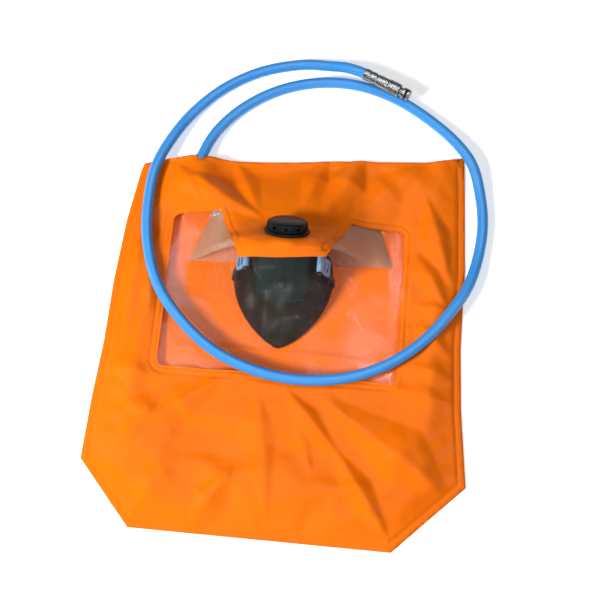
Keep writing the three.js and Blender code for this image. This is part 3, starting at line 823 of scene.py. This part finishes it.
def radial_streaks(film):
    """Fine creases that run together at the mask's nose: noise over the angle round it."""
    centred = film.add("ShaderNodeVectorMath", operation="SUBTRACT")
    centred.inputs[1].default_value = (mask_x, nose_y - 0.012, 0)
    film.link(film.place, centred.inputs[0])
    angle = film.add("ShaderNodeTexGradient", gradient_type="RADIAL")
    film.link(centred.outputs[0], angle.inputs["Vector"])
    reach = film.add("ShaderNodeVectorMath", operation="LENGTH")
    film.link(centred.outputs[0], reach.inputs[0])
    polar = film.add("ShaderNodeCombineXYZ")
    film.link(film.ranged(angle.outputs["Fac"], 0, 60), polar.inputs["X"])
    film.link(film.ranged(reach.outputs["Value"], 0, 14), polar.inputs["Y"])
    return film.noise(1.0, 4, polar.outputs[0], distortion=0.4)


def clear_film():
    """Clear glossy film, mostly see-through, with fine drawn streaks."""
    film = Surface("clear_film", (1.0, 0.95, 0.90), 0.035)
    film.set(metallic=0.9)
    ripples = film.noise(60, 4, film.stretched((1, 0.4, 1)), distortion=1.5)
    film.bumps((ripples, 0.0016), (radial_streaks(film), 0.0030))
    return film.see_through(0.980, (1, 1, 1))


def hose_blue():
    skin = Surface("hose_blue", (0.030, 0.235, 0.60), 0.30)
    skin.set(specular_ior_level=0.3, coat_weight=0.12, coat_roughness=0.18)
    skin.mottled(22, 2, (0.028, 0.225, 0.60), (0.036, 0.26, 0.66))
    skin.worn(240, 3, 0.24, 0.38)
    skin.bumps((skin.noise(420, 2), 0.00005))
    return skin.material


def black_rubber():
    rubber = Surface("mask_rubber", (0.010, 0.006, 0.004), 0.42)
    rubber.set(specular_ior_level=0.06)
    rubber.mottled(30, 3, (0.013, 0.006, 0.003), (0.005, 0.003, 0.002))
    rubber.worn(180, 4, 0.44, 0.60)
    rubber.bumps((rubber.noise(900, 2), 0.00006))
    return rubber.material


def black_plastic(name="black_plastic", colour=(0.006, 0.007, 0.008), rough=0.34):
    plastic = Surface(name, colour, rough)
    plastic.set(specular_ior_level=0.08)
    plastic.worn(220, 4, rough - 0.06, rough + 0.08)
    plastic.bumps((plastic.noise(1600, 2), 0.00004))
    return plastic.material


def seal_film():
    """Thin milky elastic film, seen through the window as a paler band."""
    film = Surface("seal_film", (1.0, 0.62, 0.42), 0.20)
    film.set(specular_ior_level=0.5)
    film.worn(50, 3, 0.15, 0.35)
    film.bumps((film.noise(70, 3, film.stretched((0.3, 1, 1))), 0.0012))
    return film.see_through(0.80, (1.0, 0.90, 0.84))


def clip_plastic():
    """Pale blue clear plastic."""
    plastic = Surface("clip_plastic", (0.22, 0.42, 0.66), 0.12)
    plastic.set(specular_ior_level=0.7, transmission_weight=0.35, ior=1.49)
    plastic.worn(400, 3, 0.08, 0.20)
    return plastic.material


def strap_web():
    """Black elastic webbing: ribs across the band and a faint fleck."""
    web = Surface("strap_web", (0.030, 0.030, 0.034), 0.85)
    ribs = web.add("ShaderNodeTexWave", wave_type="BANDS", bands_direction="X")
    ribs.inputs["Scale"].default_value = 420
    web.link(web.place, ribs.inputs["Vector"])
    web.mottled(900, 2, (0.008, 0.008, 0.009), (0.022, 0.022, 0.024))
    web.bumps((ribs.outputs["Fac"], 0.0002))
    return web.material


def steel():
    """Nickel plated and turned, a little darkened by handling."""
    metal = Surface("plated_steel", (0.45, 0.45, 0.43), 0.26)
    metal.set(metallic=1.0)
    metal.mottled(260, 4, (0.34, 0.35, 0.34), (0.20, 0.21, 0.21))
    metal.worn(700, 3, 0.18, 0.38)
    metal.bumps((metal.noise(2400, 2), 0.00003))
    return metal.material


# Each look is a material and the name of its slot, which is not used
ORANGE = orange_film(), "hood_film"
CLEAR = clear_film(), "clear_film"
BLUE = hose_blue(), "hose"
RUBBER = black_rubber(), "mask_rubber"
PLASTIC = black_plastic(), "black_plastic"
SHELL = black_plastic("shell_plastic", (0.010, 0.017, 0.016), 0.20), "black_plastic"
FLAP = black_plastic("valve_flap_rubber", (0.24, 0.23, 0.21), 0.45), "valve_rubber"
SEALING = black_plastic("seal_ring_rubber", (0.02, 0.02, 0.02), 0.5), "seal_rubber"
SEAL = seal_film(), "seal_film"
CLIP = clip_plastic(), "clip_plastic"
WEBBING = strap_web(), "strap_web"
STEEL = steel(), "steel"

# ---- film: the panels

BACK_TOP = 0.0009  # height of the back panel's upper face
PANE_THICKNESS = 0.0003
PANE_DROP = 0.0006  # of the window below the front panel
PANEL_SPACING = 0.0022  # between the points of a panel's mesh
WELD_DEPTH = 0.0007
WELD_SPREAD = 0.0006  # half the width of a weld line
WELD_SHOULDER = 0.0011  # a row of points lies this far from a weld line on both sides
SEAM_REACH = 0.010  # the film comes down to its seam within this distance
NECK_CLEAR = 0.007  # weld lines stop this far from the open neck edge


def panel(name, outline, holes, lines, drop, thickness):
    """A film panel: its height from the wrinkled sheet, its weld lines pressed in, with some thickness."""
    shoulders = [offset_loop(line, side) for line in lines for side in (-WELD_SHOULDER, WELD_SHOULDER)]
    loops = [resampled(loop, PANEL_SPACING) for loop in [outline, *lines, *shoulders]]
    holes = [resampled(hole, PANEL_SPACING) for hole in holes]
    points, triangles = planar_mesh(loops, holes, PANEL_SPACING)
    heights = heights_on(film_tree, points)
    heights = smoothed(heights, triangles, 3) + fold_lift(points)
    heights = smoothed(under_hose(points, heights), triangles, 1) - drop
    seam = np.clip(distance_to(points, welded_edge) / SEAM_REACH, 0, 1) ** 1.3
    seam_height = BACK_TOP + FILM_THICKNESS
    heights = seam_height + (heights - seam_height) * seam
    below_neck = np.clip((distance_to(points, neck_edge) - NECK_CLEAR) / 0.002, 0, 1)
    for line in lines:
        away = distance_to(points, line, closed=True)
        heights -= WELD_DEPTH * np.exp(-((away / WELD_SPREAD) ** 2)) * below_neck
    obj = thickened(mesh_object(name, np.column_stack([points, heights]), triangles), thickness)
    obj.data.shade_smooth()
    return obj


def declare_sheet(outline):
    """Turns a film piece's outline in plan, which is the size of its flat cut, into an array, and does
    nothing more with it.
    """
    outline = np.asarray(outline)


def build_front():
    dense_window = resampled(window_edge, 0.003)
    lines = [
        offset_loop(resampled(hood_edge, 0.004), -0.0062),
        offset_loop(dense_window, 0.0015),
        offset_loop(dense_window, 0.0062),
    ]
    holes = [window_edge, VALVE_RIM]
    front = panel("front_panel", hood_edge, holes, lines, 0.0, FILM_THICKNESS)
    finished(front, ORANGE, "hood_front_panel")
    pane_edge = offset_loop(dense_window, 0.007)
    pane = panel("clear_window", pane_edge, [], [], PANE_DROP, PANE_THICKNESS)
    finished(pane, CLEAR, "visor_window")
    declare_sheet(hood_edge)
    declare_sheet(pane_edge)


def build_back():
    points, triangles = planar_mesh([resampled(hood_edge, 0.004)], [], 0.003)
    waves = 0.0003 * np.sin(points[:, 0] * 70 + 1.5 * np.sin(points[:, 1] * 31)) * np.sin(points[:, 1] * 48)
    for fold in BACK_FOLDS:
        waves = np.maximum(waves, fold.lift(points))
    inward = np.clip(distance_to(points, welded_edge) / 0.02, 0, 1)
    heights = BACK_TOP + waves * inward
    obj = thickened(mesh_object("back_panel", np.column_stack([points, heights]), triangles), FILM_THICKNESS)
    finished(obj, ORANGE, "hood_back_panel")
    declare_sheet(hood_edge)


build_front()
build_back()

# ---- neck seal

SEAL_DROP = 0.0022  # from the film down to the seal's upper layer
SEAL_SLANT = 0.007  # its wide end lies this much askew, higher at the wearer's right
SEAL_THICKNESS = 0.0003
SEAL_BACK = 0.0022  # height of its lower layer
SEAL_NARROW = 0.72  # width of its narrow end, as a share of its wide end
SEAL_SPACING = 0.003


def build_seal():
    """A flat sleeve of thin film: the mask's chin lies between its two layers."""
    low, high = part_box("neck_seal")
    centre = (low.x + high.x) / 2
    half = (high.x - low.x) / 2
    narrow = half * SEAL_NARROW
    outline = np.array([
        (centre - half, low.y), (centre + half, low.y + SEAL_SLANT),
        (centre + narrow, high.y), (centre - narrow, high.y),
    ])
    hole = valve_ring(VALVE_HOLE + 0.002)
    points, triangles = planar_mesh([resampled(outline, SEAL_SPACING)], [hole], SEAL_SPACING)
    top = smoothed(heights_on(film_tree, points), triangles, 6) - SEAL_DROP
    back = np.full(len(points), SEAL_BACK)
    from_side = np.minimum(distance_to(points, outline[[0, 3]]), distance_to(points, outline[[1, 2]]))
    open_up = np.clip(from_side / 0.012, 0, 1) ** 0.6
    wide_end = distance_to(points, outline[[0, 1]])
    hem = 0.0010 * np.exp(-(((wide_end - 0.0055) / 0.0018) ** 2))
    cut_edge = 0.0008 * np.exp(-((wide_end / 0.002) ** 2))
    top += hem - cut_edge
    top = back + (top - back) * open_up
    layers = [np.column_stack([points, top]), np.column_stack([points, back - SEAL_THICKNESS])]
    sides = np.concatenate([triangles, triangles[:, ::-1] + len(points)])
    seal = thickened(mesh_object("neck_seal_film", np.concatenate(layers), sides), SEAL_THICKNESS)
    finished(seal, SEAL, "neck_seal")
    declare_sheet(outline)


# ---- mask, shell and stud


def build_mask():
    mask = remeshed_copy("half_mask", "mask_facepiece", 0.0009, 7)
    finished(mask, RUBBER, "mask_facepiece")
    shell = remeshed_copy("front_shell", "mask_front_shell", 0.0006, 7)
    finished(shell, SHELL, "mask_front_shell")
    stud_place = Matrix.Translation(middle("front_shell_stud")) @ Matrix.Rotation(radians(34), 4, "X")
    profile = [(0, -2.2), (2.2, -2.2), (2.2, 0.4), (4.2, 0.4), (3.4, 1.7), (0, 2.2)]
    stud = lathe("shell_stud", profile, stud_place, 48, 0.5 * MM)
    finished(stud, SHELL, "front_shell_stud")


# ---- exhalation valve


def radial_places(place, count, radius, height, shift=0.0):
    """Placements round an axis, their X axes pointing outwards."""
    found = []
    for i in range(count):
        turn = Matrix.Rotation(2 * pi * (i + shift) / count, 4, "Z")
        found.append(place @ turn @ Matrix.Translation((radius, 0, height)))
    return found


def ring_profile(inner, outer, bottom, top):
    return [(inner, bottom), (outer, bottom), (outer, top), (inner, top)]


def build_valve():
    housing = lathe("exhalation_valve_housing", [
        (12, -7), (17.7, -7), (17.7, -4.8), (15, -4.8), (15, 6.5), (13.4, 6.5), (13.4, 0.4), (12, 0.4),
    ], valve_place)
    spokes = boxes("spokes", (0.0246, 0.0016, 0.0020), radial_places(valve_place, 4, 0, -0.0006)[:2])
    combine(housing, spokes, "UNION")
    finished(housing, PLASTIC, "valve_housing")
    disc = [(0, 0.7), (12.9, 0.7), (12.9, 1.2), (4, 1.5), (0, 1.5)]
    flap = lathe("exhalation_valve_disc", disc, valve_place)
    finished(flap, FLAP, "valve_disc", body="exhalation_flap")
    gasket = lathe("valve_seal_ring", ring_profile(15.3, 19.5, 0.55, 1.15), valve_place)
    finished(gasket, SEALING, "valve_gasket")
    clamp = lathe("clamp_ring", [
        (15.3, 1.45), (20.2, 1.45), (20.2, 2.6), (19.3, 3.6), (15.3, 3.6),
    ], valve_place)
    finished(clamp, PLASTIC, "valve_clamp_ring")
    cover = lathe("valve_cap", [
        (0, 9.6), (14.1, 8.6), (16.1, 7.1), (16.1, 3.9), (18, 3.9), (18, 8.4), (17.4, 10.0), (15.6, 11.1),
        (12, 12.0), (6, 12.35), (0, 12.4),
    ], valve_place, 120, 0.6 * MM)
    slots = boxes("slots", (0.005, 0.0032, 0.003), radial_places(valve_place, 10, 0.018, 0.0072, 0.5))
    combine(cover, slots, "DIFFERENCE")
    grips = boxes("grips", (0.0012, 0.0050, 0.0020), radial_places(valve_place, 10, 0.0181, 0.0050))
    combine(cover, grips, "DIFFERENCE")
    sharp_above(cover, 35)
    finished(cover, PLASTIC, "valve_cover", body="valve_cover")


# ---- air inlet and grommet


def build_inlet():
    housing = lathe("inlet_valve_housing", [
        (4.3, -8.6), (6.5, -8.6), (6.5, 3.3), (9.2, 3.3), (9.2, 5.2), (4.6, 5.2), (4.6, 8.6), (3, 8.6),
        (3, -5.5), (4.3, -5.5),
    ], inlet_place)
    spokes = boxes("spokes", (0.0094, 0.0012, 0.0014), radial_places(inlet_place, 4, 0, -0.0079)[:2])
    combine(housing, spokes, "UNION")
    finished(housing, PLASTIC, "inlet_housing")
    nut = lathe("inlet_lock_nut", ring_profile(6.8, 8.8, -7.6, -6.2), inlet_place)
    notches = boxes("notches", (0.0016, 0.0016, 0.0030), radial_places(inlet_place, 8, 0.0088, -0.0069))
    combine(nut, notches, "DIFFERENCE")
    finished(nut, PLASTIC, "inlet_nut")
    flap = lathe("inlet_valve_disc", [(0, -9.7), (6, -9.7), (6, -9.1), (0, -8.9)], inlet_place)
    finished(flap, FLAP, "inlet_disc", body="inhalation_flap")
    ferrule = lathe("inlet_hose_ferrule", [
        (5.3, 5.5), (6.5, 5.5), (6.5, 8), (6.2, 8.4), (6.2, 9.4), (6.5, 9.8), (6.5, 12), (6.2, 12.4),
        (6.2, 13.4), (6.5, 13.8), (6.5, 20), (5.3, 20),
    ], inlet_place)
    finished(ferrule, STEEL, "inlet_ferrule")
    nearest = int(np.argmin(np.linalg.norm(hose_path - np.array(middle("hose_grommet")), axis=1)))
    along = hose_path[nearest + 1] - hose_path[nearest - 1]
    grommet = lathe("seal_grommet", [
        (5.5, -2), (7.2, -2), (7.2, -0.6), (6.6, -0.3), (6.6, 0.3), (7.2, 0.6), (7.2, 2), (5.5, 2),
    ], along_z(hose_path[nearest], along))
    finished(grommet, SEALING, "hose_grommet")


# ---- clips, pins and strap

CLIP_TILT = 58  # degrees below level, outwards


def prism(name, outline, bottom, top, place):
    """A closed prism over an outline in its own XY plane, metres."""
    count = len(outline)
    points = [place @ Vector((x, y, z)) for z in (bottom, top) for x, y in outline]
    faces = [list(range(count))[::-1], list(range(count, 2 * count))]
    faces += [(i, (i + 1) % count, count + (i + 1) % count, count + i) for i in range(count)]
    return mesh_object(name, points, faces)


def rounded_rectangle(x1, x2, y1, y2, radius, steps=6):
    loop = []
    for x, y, start in ((x2, y2, 0), (x1, y2, 90), (x1, y1, 180), (x2, y1, 270)):
        middle_x = x - radius if x == x2 else x + radius
        middle_y = y - radius if y == y2 else y + radius
        for step in range(steps + 1):
            angle = radians(start + 90 * step / steps)
            loop.append((middle_x + radius * cos(angle), middle_y + radius * sin(angle)))
    return loop


def build_clip(side):
    """A clear plate with two strap slots, hinged on a pin between two lugs of the mask."""
    label = "left" if side < 0 else "right"
    hinge = Vector(joints[f"{label}_clip_swing"]["pos_m"])
    tilt = CLIP_TILT if side > 0 else 180 - CLIP_TILT
    place = Matrix.Translation(hinge) @ Matrix.Rotation(radians(tilt), 4, "Y")
    width = 0.015
    outline = rounded_rectangle(0.0005, 0.016, -width / 2, width / 2, 0.0025)
    plate = prism("clip", outline, -0.001, 0.001, place)
    for x in (0.0063, 0.0118):
        slot_loop = rounded_rectangle(x - 0.0013, x + 0.0013, -0.0045, 0.0045, 0.0011)
        combine(plate, prism("slot", slot_loop, -0.003, 0.003, place), "DIFFERENCE")
    along_y = place @ Matrix.Rotation(radians(-90), 4, "X")
    barrel = lathe("barrel", ring_profile(1.5, 2.6, -7.5, 7.5), along_y, 40)
    bore = lathe("bore", [(0, -8.5), (1.5, -8.5), (1.5, 8.5), (0, 8.5)], along_y, 40, 0.01 * MM)
    combine(plate, bore, "DIFFERENCE")
    combine(plate, barrel, "UNION")
    plate.name = f"{label}_strap_clip"
    sharp_above(plate, 30)
    finished(plate, CLIP, f"strap_clip_{label}", body=f"{label}_clip")
    pin = lathe(f"{label}_clip_pin", [(0, -10), (1.2, -10), (1.2, 10), (0, 10)], along_y, 32, 0.3 * MM)
    finished(pin, STEEL, f"clip_pin_{label}")


def ribbon(name, path, width, thickness):
    """A flat band whose middle follows a path in a plane across Y."""
    tangents = np.gradient(path, axis=0)
    tangents /= np.linalg.norm(tangents, axis=1)[:, None]
    normals = np.cross(tangents, (0, 1, 0))
    half, edge = thickness / 2, thickness * 0.35
    section = [
        (-width / 2 + edge, -half), (0, -half), (width / 2 - edge, -half), (width / 2, 0),
        (width / 2 - edge, half), (0, half), (-width / 2 + edge, half), (-width / 2, 0),
    ]
    points = []
    for spot, normal in zip(path, normals):
        points += [spot + np.array((0, across, 0)) + normal * out for across, out in section]
    return swept(name, points, len(section))


def build_strap():
    """The elastic head strap: under the mask's rim and up to the clips on both sides."""
    y = middle("head_strap").y
    run = [(44.4, 16), (45.6, 9), (45.9, 5), (45.0, 2.9), (42, 2.2), (38, 2.1), (30, 2.1), (10, 2.1)]
    full = [(-x, z) for x, z in run] + [(x, z) for x, z in reversed(run)]
    path = smooth_path([(mask_x + x * MM, y, z * MM) for x, z in full])
    strap = ribbon("head_strap_web", path, 0.006, 0.001)
    finished(strap, WEBBING, "head_strap")
    for side, label in ((-1, "left"), (1, "right")):
        rise = [(44.5, 15.4), (43.2, 20), (41.2, 26), (39.6, 31), (38.6, 34.4), (37.6, 35.4), (36.4, 35.0)]
        climb = smooth_path([(mask_x + side * x * MM, y, z * MM) for x, z in rise])
        end = ribbon(f"{label}_strap_end", climb, 0.006, 0.0009)
        finished(end, WEBBING, body=None)
        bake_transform(end)


# ---- hose plug


def build_plug():
    """Crimped ferrule, body, knurled collar and seal ring of the plug on the hose's free end."""
    start = Vector(HOSE_ROUTE[0])
    direction = middle("plug_collar") - middle("plug_ferrule")
    place = along_z(start, direction)
    length = 36.5
    ferrule = lathe("hose_ferrule", [
        (5.3, -11), (5.8, -11), (5.8, -6.5), (5.45, -6), (5.45, -4.6), (5.8, -4.1), (5.8, 0), (5.45, 0.5),
        (5.45, 1.9), (5.8, 2.4), (5.8, 13), (5.3, 13),
    ], place)
    finished(ferrule, STEEL, "plug_ferrule")
    body = lathe("plug_core", [
        (2.2, 0.3), (5, 0.3), (5, 12.5), (4.4, 12.5), (4.4, length - 7.5), (5.6, length - 7.5),
        (5.6, length - 4.8), (4.6, length - 4.8), (4.6, length - 2.8), (5.6, length - 2.8), (5.6, length - 1),
        (4.8, length), (2.2, length),
    ], place)
    finished(body, STEEL, "plug_body")
    collar = lathe("knurled_collar", [
        (4.7, 13.5), (6.1, 13.5), (6.4, 14.2), (6.4, 25.2), (6.1, 26), (4.7, 26),
    ], place, 144)
    grooves = boxes("grooves", (0.0010, 0.0008, 0.0090), radial_places(place, 24, 0.0065, 0.01975))
    combine(collar, grooves, "DIFFERENCE")
    sharp_above(collar, 25)
    finished(collar, STEEL, "plug_collar")
    o_ring = lathe("plug_seal_ring", ring_profile(4.75, 5.5, length - 4.5, length - 3.1), place, 64)
    finished(o_ring, SEALING, "plug_o_ring")
    return [ferrule, body, collar, o_ring]


build_seal()
build_mask()
build_valve()
build_inlet()
for clip_side in (-1, 1):
    build_clip(clip_side)
build_strap()
plug_pieces = build_plug()
finished(hose, BLUE, "air_hose")
